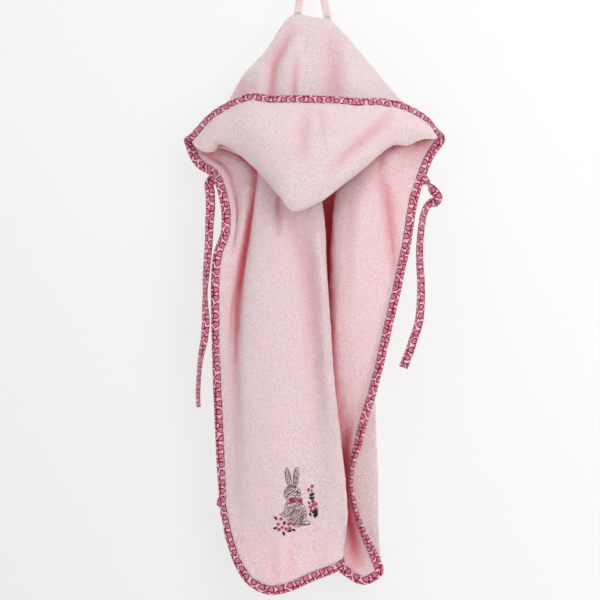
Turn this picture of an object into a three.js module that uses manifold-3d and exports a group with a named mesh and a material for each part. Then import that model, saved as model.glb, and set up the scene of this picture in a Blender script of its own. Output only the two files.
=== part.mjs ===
// Hooded baby towel, hanging by the loop at its nape with the hood down over its outer side.
// Millimetres, +Z up, +X to the right, -Y towards the viewer, +Y towards the wall.
// The origin is the point it hangs from, at the inside top of the hanging loop.
import * as THREE from 'three';
import { mergeVertices } from 'three/addons/utils/BufferGeometryUtils.js';
import Module from 'manifold-3d';

const wasm = await Module();
wasm.setup();

// Driving dimensions
const TERRY_THICKNESS = 3.6; // terry cloth with its pile
const TAPE_WIDTH = 11; // bound width of the printed bias tape
const TAPE_THICKNESS = 4.4; // tape folded over the terry edge
const SEAM_GAP = 1.0; // clearance between a terry edge and its tape
const SEWING_CLEARANCE = 0.4; // clearance between faces that are sewn together
const LOOP_WIDTH = 8; // hanging loop strip
const LOOP_THICKNESS = 3.4;
const TIE_WIDTH = 12; // flat ties of the same folded tape
const TIE_THICKNESS = 3;
const TACK_LENGTH = 10; // bar tack sewn across a tie or a loop leg
const TACK_THICKNESS = 1.4;
const STITCH_RISE = 1.2; // height of the satin stitches above the terry
const STITCH_CLEARANCE = 0.7; // clearance under the stitches, which lie on curved cloth

// How finely the cloth is divided
const THREAD_STEPS = 16;
const ACROSS_STEPS = 36;
const HOOD_THREAD_STEPS = 8;
const HOOD_BACK_ACROSS_STEPS = 22;
const HOOD_FRONT_ACROSS_STEPS = 26;
const LOOP_STEPS = 20;
const LEFT_TIE_STEPS = 70;
const RIGHT_TIE_STEPS = 84;
const OVAL_SEGMENTS = 14; // corners of each embroidered oval
const TANGENT_REACH = 2; // points to each side that give the run of an edge
const MERGE_DISTANCE = 1e-4; // corners closer than this are one corner
const IN_FRONT_OF_ALL = -400; // a depth nearer to the viewer than any cloth

const TERRY_PINK = 0xeecfd1;
const TAPE_PINK = 0xd28aa6;
const THREAD_PINK = 0xd7a3b4;
const THREAD_BROWN = 0x8a6650;
const THREAD_ROSE = 0xc8457f;
const THREAD_GREEN = 0x21402f;

// The body is one terry panel. Each thread below runs down it from the neck line to the hem, and
// together, in order, they cross the panel from its left edge to its right edge. The left half
// comes forward to the centre fold, doubles back behind itself, crosses the wall side to the right
// and comes forward again, so that the right half shows beside the centre fold.
const BODY_THREADS = [
  // left edge
  [[-150, -8, -192], [-139, -13, -215], [-117, -20, -232], [-104, -26, -268], [-103, -26, -309],
    [-113, -22, -340], [-115, -19, -430], [-113, -18, -492], [-109, -19, -580], [-106, -20, -652]],
  // just inside the left edge
  [[-148.5, -6, -188], [-136, -12, -211], [-112, -19, -229], [-99, -25, -267], [-98, -25, -311],
    [-108, -22, -343], [-111, -20, -430], [-109, -19, -492], [-105, -20, -582], [-103, -22, -669]],
  // hollow beside the left edge
  [[-147, -3, -184], [-124, -4, -208], [-98, -8, -250], [-95, -15, -290], [-104, -20, -335],
    [-108, -21, -392], [-106, -20, -492], [-101, -22, -580], [-99, -25, -688]],
  // rib beside the hollow
  [[-142, -2, -178], [-112, -10, -212], [-87, -24, -255], [-88, -28, -302], [-98, -27, -345],
    [-100, -20, -395], [-98, -19, -492], [-95, -25, -580], [-88, -32, -718]],
  // deep valley that dives towards the left edge
  [[-136, -1, -170], [-102, -6, -205], [-77, -10, -255], [-78, -12, -302], [-84, -12, -345],
    [-87, -14, -392], [-91, -20, -480], [-89, -33, -580], [-74, -38, -739]],
  // left shoulder of the front lobe
  [[-124, 0, -160], [-92, -14, -200], [-68, -34, -248], [-73, -42, -305], [-78, -44, -392],
    [-82, -44, -480], [-79, -44, -580], [-54, -44, -749]],
  // middle of the front lobe
  [[-107, 0, -148], [-74, -16, -190], [-42, -40, -242], [-39, -50, -305], [-44, -54, -418],
    [-47, -52, -542], [-32, -46, -746]],
  // soft valley
  [[-89, 1, -122], [-59, -14, -180], [-19, -34, -249], [-8, -40, -318], [-1, -42, -430],
    [6, -44, -555], [1, -42, -732]],
  // ridge beside the centre fold
  [[-81, 1, -110], [-52, -12, -172], [-4, -36, -255], [11, -46, -342], [17, -50, -468],
    [27, -50, -580], [28, -44, -721]],
  // centre fold
  [[-73, 1, -102], [-39, -8, -168], [8, -28, -255], [19, -36, -368], [24, -40, -492],
    [36, -42, -586], [43, -42, -668], [39, -38, -712]],
  // back of the centre pleat
  [[-54, 2, -80], [-37, 2, -155], [-19, -6, -255], [-17, -14, -392], [-19, -14, -542],
    [-24, -14, -686]],
  // left fold on the wall side
  [[-23, 2, -38], [-54, 12, -130], [-89, 18, -218], [-104, 20, -318], [-112, 20, -442],
    [-114, 18, -555], [-116, 16, -642]],
  // left half of the back
  [[1, 2, -41], [-18, 14, -130], [-44, 20, -230], [-57, 22, -368], [-63, 22, -518], [-65, 20, -655]],
  // centre back
  [[25, 2, -46], [17, 16, -130], [1, 22, -230], [-9, 24, -368], [-14, 24, -518], [-14, 22, -662]],
  // right fold on the wall side
  [[76, 2, -101], [91, 12, -168], [81, 18, -255], [76, 19, -368], [79, 18, -492],
    [82, 17, -605], [86, 14, -718]],
  // inner fold of the right half
  [[117, 1, -148], [76, -2, -192], [36, -16, -242], [27, -20, -305], [21, -16, -384],
    [8, -8, -492], [-7, -3, -592], [-14, -2, -700]],
  // front of the right half
  [[133, 0, -162], [103, -20, -205], [71, -38, -255], [61, -44, -330], [53, -42, -418],
    [46, -30, -492], [30, -12, -580], [34, -1, -714]],
  // valley beside the right edge
  [[146, -2, -172], [121, -14, -208], [96, -28, -249], [96, -34, -318], [86, -38, -405],
    [68, -35, -480], [45, -20, -568], [43, -9, -642], [67, 0, -731]],
  // right edge
  [[158, -8, -189], [143, -18, -211], [124, -32, -261], [111, -38, -335], [95, -42, -405],
    [78, -41, -482], [58, -33, -555], [47, -27, -611], [55, -17, -662], [83, -4, -722]],
];

// The hood's back layer hangs in front of the body, from the neck line down into the hood pocket.
const HOOD_BACK_THREADS = [
  [[-149, -16, -189], [-147, -18, -194]],
  [[-131, -12, -165], [-126, -20, -182], [-123, -26, -199]],
  [[-107, -9, -148], [-102, -28, -178], [-94, -40, -210]],
  [[-87, -8, -115], [-77, -38, -168], [-64, -52, -228]],
  [[-59, -7, -86], [-54, -34, -136], [-46, -48, -192], [-38, -62, -254]],
  [[-24, -7, -38], [-27, -26, -92], [-22, -41, -142], [-19, -52, -205], [-20, -64, -268]],
  [[1, -7, -40], [1, -23, -92], [2, -40, -142], [1, -53, -205], [-4, -65, -264]],
  [[25, -7, -46], [28, -24, -92], [28, -40, -142], [22, -52, -205], [14, -63, -257]],
  [[69, -8, -95], [63, -34, -136], [54, -48, -192], [48, -56, -232]],
  [[108, -9, -140], [101, -30, -168], [89, -44, -203]],
  [[136, -11, -164], [128, -20, -180], [121, -28, -193]],
  [[155, -15, -183], [154, -17, -188]],
];

// The hood's front panel, from below the tape on its rim, over the pouch and in under it.
const HOOD_FRONT_THREADS = [
  [[-149, -24, -194], [-147, -26, -199]],
  [[-129, -35, -172], [-132, -38, -190], [-132, -36, -205], [-123, -30, -205]],
  [[-118, -41, -163], [-119, -48, -181], [-119, -46, -193], [-114, -35, -197]],
  [[-104, -47, -155], [-104, -59, -178], [-101, -57, -198], [-94, -44, -207]],
  [[-77, -58, -145], [-77, -80, -180], [-76, -76, -213], [-64, -58, -234]],
  [[-49, -68, -149], [-49, -94, -192], [-49, -92, -240], [-39, -71, -263]],
  [[-12, -74, -149], [-18, -102, -205], [-24, -98, -260], [-24, -86, -281], [-19, -73, -278]],
  [[21, -74, -150], [17, -100, -205], [12, -94, -254], [12, -82, -269], [12, -71, -267]],
  [[51, -68, -152], [51, -90, -192], [51, -80, -230], [48, -64, -241]],
  [[83, -58, -151], [85, -74, -178], [84, -66, -203], [85, -52, -210]],
  [[97, -51, -153], [99, -64, -176], [99, -57, -193], [101, -44, -199]],
  [[111, -44, -155], [112, -54, -174], [112, -46, -192], [119, -36, -198]],
  [[142, -32, -170], [143, -38, -181], [141, -35, -191]],
  [[157, -25, -188], [156, -27, -191]],
];

// Centre line of the hanging loop: up the left leg, over the hook and down the right leg.
const LOOP_ROUTE = [
  [-18, -2, -37], [-16, -2, -26], [-14.5, -2, -12], [-12, -2, 0], [-7, -2, 4], [0, -2, 5.5],
  [7, -2, 4], [12.5, -2, 0], [15.5, -2, -12], [18.5, -2, -28], [22.5, -2, -46],
];

// Centre lines of the flat ties, from the bar tack on the edge tape to their free ends.
const LEFT_TIE_ROUTE = [
  [-128.5, -16, -247], [-127.5, -17, -258], [-127, -18, -275], [-128, -19, -297],
  [-129, -20, -322], [-131, -21, -346], [-133, -21, -372], [-133.5, -21, -398],
  [-132.5, -21, -420], [-134.5, -21, -442], [-139, -21, -464], [-141.5, -20, -490],
  [-142.5, -20, -515], [-141.5, -20, -527],
];
const RIGHT_TIE_ROUTE = [
  [145, -22, -246], [149, -25, -251], [154, -28, -257], [158.5, -29, -262.5],
  [161, -27, -266.5], [159.5, -24, -269], [155, -23, -269.5], [150, -23, -270.5],
  [145, -25, -275], [141, -28, -284], [138, -31, -300], [135.5, -33, -324],
  [135.5, -34, -345], [137, -34, -372], [136.5, -34, -398], [134, -34, -420],
  [129.5, -34, -436], [123, -34, -455], [115, -34, -477],
];

// How the bands twist: pairs of a share of the length and the angle, in degrees, from facing the viewer.
const LOOP_TURNS = [[0, 0], [1, 0]];
const LEFT_TIE_TURNS = [
  [0, 0], [0.15, 10], [0.23, 31], [0.3, 38], [0.36, 46], [0.43, 52], [0.5, 70], [0.53, 74],
  [0.6, 50], [0.65, 33], [0.72, 48], [0.76, 58], [0.82, 72], [1, 76],
];
const RIGHT_TIE_TURNS = [
  [0, 0], [0.04, 10], [0.1, 170], [0.15, 236], [0.2, 240], [0.32, 230], [0.55, 222],
  [0.68, 210], [1, 200],
];

// Centres of the bar tacks, and the tilt in radians of the two that cross the loop's legs.
const LOOP_TACK_LEFT = [-17, -5, -31];
const LOOP_TACK_LEFT_TILT = 0.1;
const LOOP_TACK_RIGHT = [20, -5, -37];
const LOOP_TACK_RIGHT_TILT = -0.2;
const LEFT_TIE_TACK = [-121, -27.5, -236];
const RIGHT_TIE_TACK = [138.5, -33.5, -236];

const fabric = (color, roughness) => new THREE.MeshStandardMaterial({ color, roughness, metalness: 0 });
const toVector = (point) => new THREE.Vector3(...point);
const curveThrough = (points) => new THREE.CatmullRomCurve3(points, false, 'centripetal');

// Runs one curve down each thread and one across them, and gives rows of points.
function clothRows(threads, threadSteps, acrossSteps) {
  const columns = threads.map((thread) => curveThrough(thread.map(toVector)).getPoints(threadSteps));
  const rows = [];
  for (let step = 0; step <= threadSteps; step += 1) {
    const across = curveThrough(columns.map((column) => column[step]));
    rows.push(across.getPoints(acrossSteps));
  }
  return rows;
}

// Unit normal of the cloth at each point of its rows.
function rowNormals(rows) {
  return rows.map((row, r) => row.map((_, c) => {
    const above = rows[Math.max(r - 1, 0)][c];
    const below = rows[Math.min(r + 1, rows.length - 1)][c];
    const left = row[Math.max(c - 1, 0)];
    const right = row[Math.min(c + 1, row.length - 1)];
    const down = below.clone().sub(above);
    const along = right.clone().sub(left);
    return down.cross(along).normalize();
  }));
}

// Closed solid around rows of points, half the thickness to each side of them.
function solidFromRows(rows, thickness) {
  const normals = rowNormals(rows);
  const width = rows[0].length;
  const positions = [];
  for (const side of [0.5, -0.5]) {
    rows.forEach((row, r) => row.forEach((point, c) => {
      positions.push(...point.clone().addScaledVector(normals[r][c], side * thickness).toArray());
    }));
  }
  const offset = rows.length * width;
  const index = [];
  const quad = (a, b, c, d) => index.push(a, b, c, a, c, d);
  for (let r = 0; r < rows.length - 1; r += 1) {
    for (let c = 0; c < width - 1; c += 1) {
      const a = r * width + c;
      quad(a, a + width, a + width + 1, a + 1);
      quad(offset + a, offset + a + 1, offset + a + width + 1, offset + a + width);
    }
  }
  const rim = [];
  for (let c = 0; c < width - 1; c += 1) rim.push(c);
  for (let r = 0; r < rows.length - 1; r += 1) rim.push(r * width + width - 1);
  for (let c = width - 1; c > 0; c -= 1) rim.push((rows.length - 1) * width + c);
  for (let r = rows.length - 1; r > 0; r -= 1) rim.push(r * width);
  rim.forEach((from, i) => {
    const to = rim[(i + 1) % rim.length];
    quad(from, to, offset + to, offset + from);
  });
  const geometry = new THREE.BufferGeometry();
  geometry.setAttribute('position', new THREE.Float32BufferAttribute(positions, 3));
  geometry.setIndex(index);
  return geometry;
}

// Rows of a tape that carries on outwards from a cloth edge, leaving the sewing gap.
function tapeRows(edge, inner) {
  const outward = edge.map((point, i) => {
    const ahead = edge[Math.min(i + TANGENT_REACH, edge.length - 1)];
    const behind = edge[Math.max(i - TANGENT_REACH, 0)];
    const tangent = ahead.clone().sub(behind).normalize();
    const away = point.clone().sub(inner[i]);
    return away.addScaledVector(tangent, -away.dot(tangent)).normalize();
  });
  const shifted = (distance) => edge.map((p, i) => p.clone().addScaledVector(outward[i], distance));
  return [shifted(SEAM_GAP), shifted(TAPE_WIDTH)];
}

// Value at a share of the way, read from pairs of share and value.
function readPairs(pairs, share) {
  const last = pairs.length - 1;
  const next = Math.max(1, pairs.findIndex(([at], i) => at >= share || i === last));
  const [startAt, startValue] = pairs[next - 1];
  const [endAt, endValue] = pairs[next];
  return startValue + ((endValue - startValue) * (share - startAt)) / (endAt - startAt);
}

// Flat band along a route. The turns pair shares of its length with the angle, in degrees,
// that its face is turned away from the viewer, about the vertical.
function bandAlong(points, turns, width, thickness, steps) {
  const route = curveThrough(points.map(toVector));
  const centres = route.getSpacedPoints(steps);
  const sides = centres.map((_, i) => {
    const turn = THREE.MathUtils.degToRad(readPairs(turns, i / steps));
    const face = new THREE.Vector3(Math.sin(turn), -Math.cos(turn), 0);
    return route.getTangentAt(i / steps).cross(face).normalize();
  });
  const shifted = (distance) => centres.map((p, i) => p.clone().addScaledVector(sides[i], distance));
  return solidFromRows([shifted(-width / 2), shifted(width / 2)], thickness);
}

const downView = new THREE.Vector3(0, 1, 0);

// Depth of the cloth's front face under a point seen from the front.
function frontDepth(cloth, x, z) {
  const ray = new THREE.Raycaster(new THREE.Vector3(x, IN_FRONT_OF_ALL, z), downView);
  return ray.intersectObject(cloth, false)[0].point.y;
}

// Raised oval of satin stitches that follows the cloth it is sewn on.
function stitchOval(cloth, [x, z, radiusX, radiusZ, turn]) {
  const segments = OVAL_SEGMENTS;
  const positions = [];
  const index = [];
  const place = (ring, step, rise) => {
    const angle = (2 * Math.PI * step) / segments;
    const across = ring * radiusX * Math.cos(angle);
    const up = ring * radiusZ * Math.sin(angle);
    const px = x + across * Math.cos(turn) - up * Math.sin(turn);
    const pz = z + across * Math.sin(turn) + up * Math.cos(turn);
    positions.push(px, frontDepth(cloth, px, pz) - STITCH_CLEARANCE - rise, pz);
  };
  for (const rise of [STITCH_RISE, 0]) {
    place(0, 0, rise);
    for (const ring of [0.5, 1]) {
      for (let step = 0; step < segments; step += 1) place(ring, step, rise);
    }
  }
  const perFace = 1 + 2 * segments;
  const triangle = (a, b, c) => {
    index.push(a, b, c);
    index.push(a + perFace, c + perFace, b + perFace);
  };
  for (let step = 0; step < segments; step += 1) {
    const next = (step + 1) % segments;
    const innerA = 1 + step;
    const innerB = 1 + next;
    const outerA = innerA + segments;
    const outerB = innerB + segments;
    triangle(0, innerA, innerB);
    triangle(innerA, outerA, outerB);
    triangle(innerA, outerB, innerB);
    index.push(outerA, outerA + perFace, outerB + perFace);
    index.push(outerA, outerB + perFace, outerB);
  }
  const geometry = new THREE.BufferGeometry();
  geometry.setAttribute('position', new THREE.Float32BufferAttribute(positions, 3));
  geometry.setIndex(index);
  return geometry;
}

function addPart(group, name, geometry, material) {
  const mesh = new THREE.Mesh(geometry, material);
  mesh.name = name;
  group.add(mesh);
  return mesh;
}

// Bar tack: a flat block of stitches sewn across a tie or a loop leg.
function addTack(name, width, centre, tilt) {
  const geometry = new THREE.BoxGeometry(width, TACK_THICKNESS, TACK_LENGTH);
  const mesh = addPart(towel, name, geometry, fabric(THREAD_PINK, 0.6));
  mesh.position.set(...centre);
  mesh.rotation.y = tilt;
}

// Solid for the boolean library, from a closed geometry.
function toManifold(geometry) {
  const merged = mergeVertices(geometry, MERGE_DISTANCE);
  return new wasm.Manifold(new wasm.Mesh({
    numProp: 3,
    vertProperties: new Float32Array(merged.attributes.position.array),
    triVerts: new Uint32Array(merged.index.array),
  }));
}

function fromManifold(solid) {
  const mesh = solid.getMesh();
  const result = new THREE.BufferGeometry();
  result.setAttribute('position', new THREE.Float32BufferAttribute(mesh.vertProperties, 3));
  result.setIndex([...mesh.triVerts]);
  return result;
}

// Several stitched ovals joined into one coloured part of the embroidery.
function addEmbroidery(name, cloth, ovals, color) {
  const [first, ...others] = ovals.map((oval) => toManifold(stitchOval(cloth, oval)));
  const joined = others.reduce((sum, oval) => sum.add(oval), first);
  addPart(towel, name, fromManifold(joined), fabric(color, 0.5));
}

// One tape binds the left edge, the hem and the right edge of the body.
function addEdgeBinding(body) {
  const last = body.length - 1;
  const end = body[0].length - 1;
  const column = (c) => body.slice(0, last).map((row) => row[c]);
  const outline = [...column(0), ...body[last], ...column(end).reverse()];
  const hemInside = body[last - 1].map((point, c) => (c === 0 ? body[last - 1][1] : point));
  const inside = [...column(1), ...hemInside, ...column(end - 1).reverse()];
  const binding = toManifold(solidFromRows(tapeRows(outline, inside), TAPE_THICKNESS));
  const clearOfBody = toManifold(solidFromRows(body, TERRY_THICKNESS + 2 * SEWING_CLEARANCE));
  addPart(towel, 'edge_binding', fromManifold(binding.subtract(clearOfBody)), fabric(TAPE_PINK, 0.75));
}

const towel = new THREE.Group();
const terry = fabric(TERRY_PINK, 0.95);
const tape = fabric(TAPE_PINK, 0.75);

const bodyRows = clothRows(BODY_THREADS, THREAD_STEPS, ACROSS_STEPS);
const bodyPanel = addPart(towel, 'body_panel', solidFromRows(bodyRows, TERRY_THICKNESS), terry);
addEdgeBinding(bodyRows);

const hoodBackRows = clothRows(HOOD_BACK_THREADS, HOOD_THREAD_STEPS, HOOD_BACK_ACROSS_STEPS);
addPart(towel, 'hood_back', solidFromRows(hoodBackRows, TERRY_THICKNESS), terry);

const hoodFrontRows = clothRows(HOOD_FRONT_THREADS, HOOD_THREAD_STEPS, HOOD_FRONT_ACROSS_STEPS);
addPart(towel, 'hood_front', solidFromRows(hoodFrontRows, TERRY_THICKNESS), terry);
const rimRows = tapeRows(hoodFrontRows[0], hoodFrontRows[1]);
addPart(towel, 'rim_binding', solidFromRows(rimRows, TAPE_THICKNESS), tape);

const hangLoop = bandAlong(LOOP_ROUTE, LOOP_TURNS, LOOP_WIDTH, LOOP_THICKNESS, LOOP_STEPS);
addPart(towel, 'hang_loop', hangLoop, terry);
addTack('loop_tack_left', LOOP_WIDTH, LOOP_TACK_LEFT, LOOP_TACK_LEFT_TILT);
addTack('loop_tack_right', LOOP_WIDTH, LOOP_TACK_RIGHT, LOOP_TACK_RIGHT_TILT);

const leftTie = bandAlong(LEFT_TIE_ROUTE, LEFT_TIE_TURNS, TIE_WIDTH, TIE_THICKNESS, LEFT_TIE_STEPS);
addPart(towel, 'left_tie', leftTie, tape);
addTack('left_tie_tack', TIE_WIDTH, LEFT_TIE_TACK, 0);
const rightTie = bandAlong(RIGHT_TIE_ROUTE, RIGHT_TIE_TURNS, TIE_WIDTH, TIE_THICKNESS, RIGHT_TIE_STEPS);
addPart(towel, 'right_tie', rightTie, tape);
addTack('right_tie_tack', TIE_WIDTH, RIGHT_TIE_TACK, 0);

// The embroidery is a plain sitting animal between flowers and a leafy sprig.
// Each oval is its centre x and z, its two radii and its turn in radians.
addEmbroidery('embroidery_animal', bodyPanel, [
  [-19, -656, 13, 19, 0.25],
  [-24, -634, 10, 11, 0],
  [-28, -617, 3.4, 11, 0.15],
  [-19, -617, 3.4, 11, -0.2],
  [-8, -668, 7, 4, 0.3],
], THREAD_BROWN);
addEmbroidery('embroidery_flowers', bodyPanel, [
  [-41, -665, 6, 6, 0],
  [-36, -671, 7, 7, 0],
  [-30, -677, 6, 6, 0],
], THREAD_ROSE);
addEmbroidery('embroidery_bud', bodyPanel, [[-1, -620, 4, 6, 0]], THREAD_ROSE);
addEmbroidery('embroidery_leaves', bodyPanel, [
  [1, -641, 2, 13, 0],
  [5, -647, 6, 8, -0.6],
  [-1, -650, 4, 7, 0.5],
], THREAD_GREEN);

export default towel;
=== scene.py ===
"""Looks of the hooded baby towel, with its stage, light and camera."""
import math

import bpy
import numpy as np
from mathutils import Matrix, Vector
from mathutils.bvhtree import BVHTree


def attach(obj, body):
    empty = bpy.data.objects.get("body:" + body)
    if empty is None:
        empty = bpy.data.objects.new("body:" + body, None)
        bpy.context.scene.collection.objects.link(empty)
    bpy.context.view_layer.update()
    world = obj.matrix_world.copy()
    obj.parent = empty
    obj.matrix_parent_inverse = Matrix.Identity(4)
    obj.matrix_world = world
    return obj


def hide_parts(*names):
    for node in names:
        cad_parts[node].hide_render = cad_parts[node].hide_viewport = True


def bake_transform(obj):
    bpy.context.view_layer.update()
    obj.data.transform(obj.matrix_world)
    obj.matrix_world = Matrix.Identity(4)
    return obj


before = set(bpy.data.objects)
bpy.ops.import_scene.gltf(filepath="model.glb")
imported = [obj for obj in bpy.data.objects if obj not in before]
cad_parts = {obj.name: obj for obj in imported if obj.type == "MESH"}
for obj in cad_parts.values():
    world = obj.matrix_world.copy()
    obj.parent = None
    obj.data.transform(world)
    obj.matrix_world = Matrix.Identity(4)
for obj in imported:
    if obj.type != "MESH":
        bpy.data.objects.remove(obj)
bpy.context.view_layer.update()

MM = 0.001

# ---- sizes, in millimetres
TERRY = 3.2
TAPE_HALF = 2.7  # half the height of the folded tape
TIE_WIDTH = 12.0
TIE_THICKNESS = 2.6
LOOP_WIDTH = 9.4
LOOP_HALF_THICKNESS = 1.7

# ---- where the cloth runs, in millimetres
# Each thread runs down the cloth, from the neck line to the hem.
BODY_THREADS = [
  # left edge
  [[-150, -8, -192], [-139, -13, -215], [-117, -20, -232], [-104, -26, -268], [-103, -26, -309],
    [-113, -22, -340], [-115, -19, -430], [-113, -18, -492], [-109, -19, -580], [-106, -20, -652]],
  # just inside the left edge
  [[-148.5, -6, -188], [-136, -12, -211], [-112, -19, -229], [-99, -25, -267], [-98, -25, -311],
    [-108, -22, -343], [-111, -20, -430], [-109, -19, -492], [-105, -20, -582], [-103, -22, -669]],
  # hollow beside the left edge
  [[-147, -3, -184], [-125, -8, -207], [-102, -14, -231], [-94.5, -18, -268], [-95.5, -21, -309],
    [-102, -21.5, -345], [-106.5, -20, -430], [-105.5, -19.5, -492], [-101, -22, -580],
    [-99, -25, -688]],
  # rib beside the hollow
  [[-142, -2, -178], [-110, -9, -202], [-82, -22, -229], [-83, -27, -267], [-88, -27.5, -307],
    [-95, -22, -345], [-100, -17, -412], [-98, -19, -492], [-95, -25, -580], [-88, -32, -718]],
  # deep valley that dives towards the left edge
  [[-136, -1, -170], [-98, -6, -195], [-68, -17, -228], [-71, -20, -264], [-76.5, -18.5, -304],
    [-82.5, -13.5, -344], [-88, -12, -400], [-91, -20, -484], [-89, -33, -580], [-74, -38, -739]],
  # left shoulder of the front lobe
  [[-124, 0, -160], [-86, -14, -192], [-62, -30, -228], [-65, -36, -258], [-71, -42, -305],
    [-76, -44, -350], [-80, -44, -392], [-84, -44, -480], [-79, -44, -580], [-54, -44, -749]],
  # middle of the front lobe
  [[-107, 0, -148], [-74, -16, -190], [-42, -40, -242], [-39, -50, -305], [-44, -54, -418],
    [-47, -52, -542], [-32, -46, -746]],
  # soft valley
  [[-89, 1, -122], [-59, -14, -180], [-19, -34, -249], [-8, -40, -318], [-1, -42, -430],
    [6, -44, -555], [1, -42, -732]],
  # ridge beside the centre fold
  [[-81, 1, -110], [-52, -12, -172], [-4, -36, -255], [11, -46, -342], [17, -50, -468],
    [27, -50, -580], [28, -44, -721]],
  # centre fold
  [[-73, 1, -102], [-39, -8, -168], [8, -28, -255], [19, -36, -368], [24, -40, -492],
    [36, -42, -586], [43, -42, -668], [39, -38, -712]],
  # back of the centre pleat
  [[-54, 2, -80], [-37, 2, -155], [-19, -6, -255], [-17, -14, -392], [-19, -14, -542],
    [-24, -14, -686]],
  # left fold on the wall side
  [[-23, 2, -38], [-54, 12, -130], [-89, 18, -218], [-104, 20, -318], [-112, 20, -442],
    [-114, 18, -555], [-116, 16, -642]],
  # left half of the back
  [[1, 2, -41], [-18, 14, -130], [-44, 20, -230], [-57, 22, -368], [-63, 22, -518],
    [-65, 20, -655]],
  # centre back
  [[25, 2, -46], [17, 16, -130], [1, 22, -230], [-9, 24, -368], [-14, 24, -518], [-14, 22, -662]],
  # right fold on the wall side
  [[76, 2, -101], [91, 12, -168], [81, 18, -255], [76, 19, -368], [79, 18, -492],
    [82, 17, -605], [86, 14, -718]],
  # inner fold of the right half
  [[117, 1, -148], [76, -2, -192], [36, -16, -242], [27, -20, -305], [21, -16, -384],
    [8, -8, -492], [-7, -3, -592], [-14, -2, -700]],
  # turn of the right half beside the centre gap
  [[125, 0, -154], [88, -12, -196], [47, -30, -246], [38, -37, -316], [31, -34, -398],
    [25, -23, -492], [11, -9, -586], [7, -2, -712]],
  # front of the right half
  [[133, 0, -162], [103, -20, -205], [71, -38, -255], [61, -44, -330], [53, -42, -418],
    [46, -30, -492], [30, -12, -580], [33, -1, -722]],
  # valley beside the right edge
  [[146, -2, -172], [121, -14, -208], [96, -28, -249], [96, -34, -318], [86, -38, -405],
    [68, -35, -480], [45, -20, -568], [43, -9, -642], [66, 0, -741]],
  # right edge
  [[158, -8, -189], [143, -18, -211], [124, -32, -261], [111, -38, -335], [95, -42, -405],
    [78, -41, -482], [58, -33, -555], [47, -27, -611], [55, -17, -662], [81, -4, -733]],
]

# The hood's back layer hangs in front of the body, from the neck line down into the hood pocket.
HOOD_BACK_THREADS = [
  [[-149, -16, -189], [-147, -18, -194]],
  [[-131, -12, -165], [-126, -20, -182], [-123, -26, -199]],
  [[-107, -9, -148], [-102, -28, -178], [-94, -40, -210]],
  [[-87, -8, -115], [-77, -38, -168], [-64, -52, -228]],
  [[-59, -7, -86], [-54, -34, -136], [-46, -48, -192], [-38, -62, -254]],
  [[-24, -7, -38], [-27, -26, -92], [-22, -41, -142], [-19, -52, -205], [-20, -64, -268]],
  [[1, -7, -40], [1, -23, -92], [2, -40, -142], [1, -53, -205], [-4, -65, -264]],
  [[25, -7, -46], [28, -24, -92], [28, -40, -142], [22, -52, -205], [14, -63, -257]],
  [[69, -8, -95], [63, -34, -136], [54, -48, -192], [48, -56, -232]],
  [[108, -9, -140], [101, -30, -168], [89, -44, -203]],
  [[136, -11, -164], [128, -20, -180], [121, -28, -193]],
  [[155, -15, -183], [154, -17, -188]],
]

# The hood's front panel, from below the tape on its rim, over the pouch and in under it.
HOOD_FRONT_THREADS = [
  [[-149, -24, -194], [-147, -26, -199]],
  [[-129, -35, -172], [-132, -38, -190], [-132, -36, -205], [-123, -30, -205]],
  [[-118, -41, -163], [-119, -48, -181], [-119, -46, -193], [-114, -35, -197]],
  [[-104, -47, -155], [-104, -59, -178], [-101, -57, -198], [-94, -44, -207]],
  [[-77, -58, -145], [-77, -80, -180], [-76, -76, -213], [-64, -58, -234]],
  [[-49, -68, -149], [-49, -94, -192], [-49, -92, -240], [-39, -71, -263]],
  [[-12, -74, -149], [-18, -102, -205], [-24, -98, -260], [-24, -86, -281], [-19, -73, -278]],
  [[21, -74, -150], [17, -100, -205], [12, -94, -254], [12, -82, -269], [12, -71, -267]],
  [[51, -68, -152], [51, -90, -192], [51, -80, -230], [48, -64, -241]],
  [[83, -58, -151], [85, -74, -178], [84, -66, -203], [85, -52, -210]],
  [[97, -51, -153], [99, -64, -176], [99, -57, -193], [101, -44, -199]],
  [[111, -44, -155], [112, -54, -174], [112, -46, -192], [119, -36, -198]],
  [[142, -32, -170], [143, -38, -181], [141, -35, -191]],
  [[157, -25, -188], [156, -27, -191]],
]

# Centre line of the hanging loop: up the left leg, over the hook and down the right leg.
LOOP_ROUTE = [
  [-18, -2, -37], [-16, -2, -26], [-14.5, -2, -12], [-12, -2, 0], [-7, -2, 4], [0, -2, 5.5],
  [7, -2, 4], [12.5, -2, 0], [15.5, -2, -12], [18.5, -2, -28], [22.5, -2, -46],
]

# Centre lines of the flat ties, from the bar tack on the edge tape to their free ends.
LEFT_TIE_ROUTE = [
  [-128.5, -16, -247], [-127.5, -17, -258], [-127, -18, -275], [-128, -19, -297],
  [-129, -20, -322], [-131, -21, -346], [-133, -21, -372], [-133.5, -21, -398],
  [-132.5, -21, -420], [-134.5, -21, -442], [-139, -21, -464], [-141.5, -20, -490],
  [-142.5, -20, -515], [-141.5, -20, -527],
]
RIGHT_TIE_ROUTE = [
  [145, -22, -246], [149, -25, -251], [154, -28, -257], [158.5, -29, -262.5],
  [161, -27, -266.5], [159.5, -24, -269], [155, -23, -269.5], [150, -23, -270.5],
  [145, -25, -275], [141, -28, -284], [138, -31, -300], [135.5, -33, -324],
  [135.5, -34, -345], [137, -34, -372], [136.5, -34, -398], [134, -34, -420],
  [129.5, -34, -436], [123, -34, -455], [115, -34, -477],
]

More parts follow.
